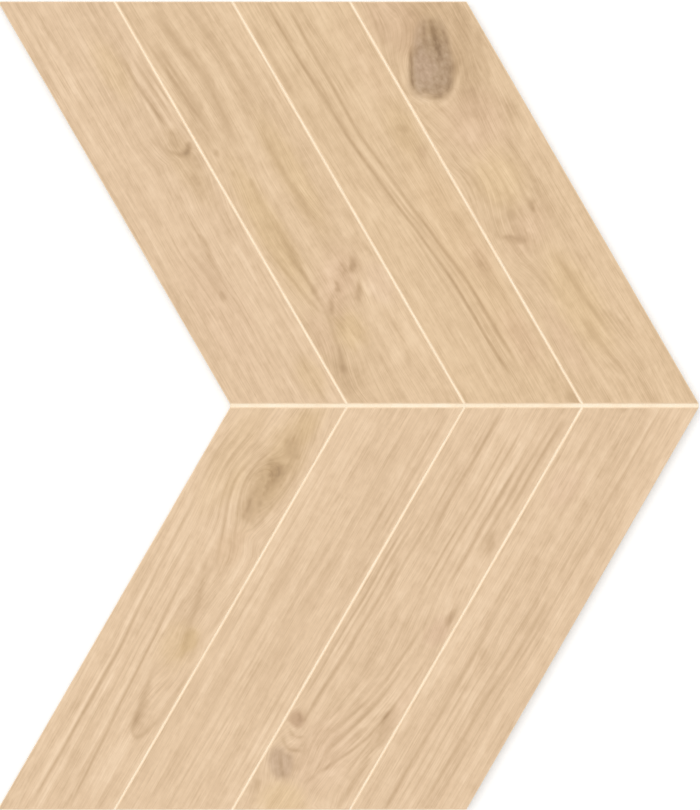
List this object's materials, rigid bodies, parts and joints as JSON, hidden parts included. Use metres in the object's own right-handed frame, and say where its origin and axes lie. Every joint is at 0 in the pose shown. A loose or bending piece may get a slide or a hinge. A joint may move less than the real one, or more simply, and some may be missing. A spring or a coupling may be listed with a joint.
{
  "type": "chevron wall tile",
  "caption": "Wood-look porcelain chevron tile sheet: mitred strips in mirrored rows with pale grouted joints, on a glass-fibre backing net, pointed on its right side and notched on its left.",
  "frame": {"origin": "middle of the sheet's outer box, on the surface that its back lies on", "axes": "+X towards the chevron's point, +Y across the mitre joint, +Z out of the decorated face"},
  "size_m": [0.3574, 0.412, 0.0095],
  "materials": {
    "porcelain": "matte",
    "grout": "matte",
    "net": "matte"
  },
  "bodies": {
    "root": {"joint_grout": "grout", "backing_net_upper": "net", "strip_upper_1": "porcelain", "strip_upper_2": "porcelain", "strip_upper_3": "porcelain", "strip_upper_4": "porcelain", "backing_net_lower": "net", "strip_lower_1": "porcelain", "strip_lower_2": "porcelain", "strip_lower_3": "porcelain", "strip_lower_4": "porcelain"}
  },
  "joints": []
}
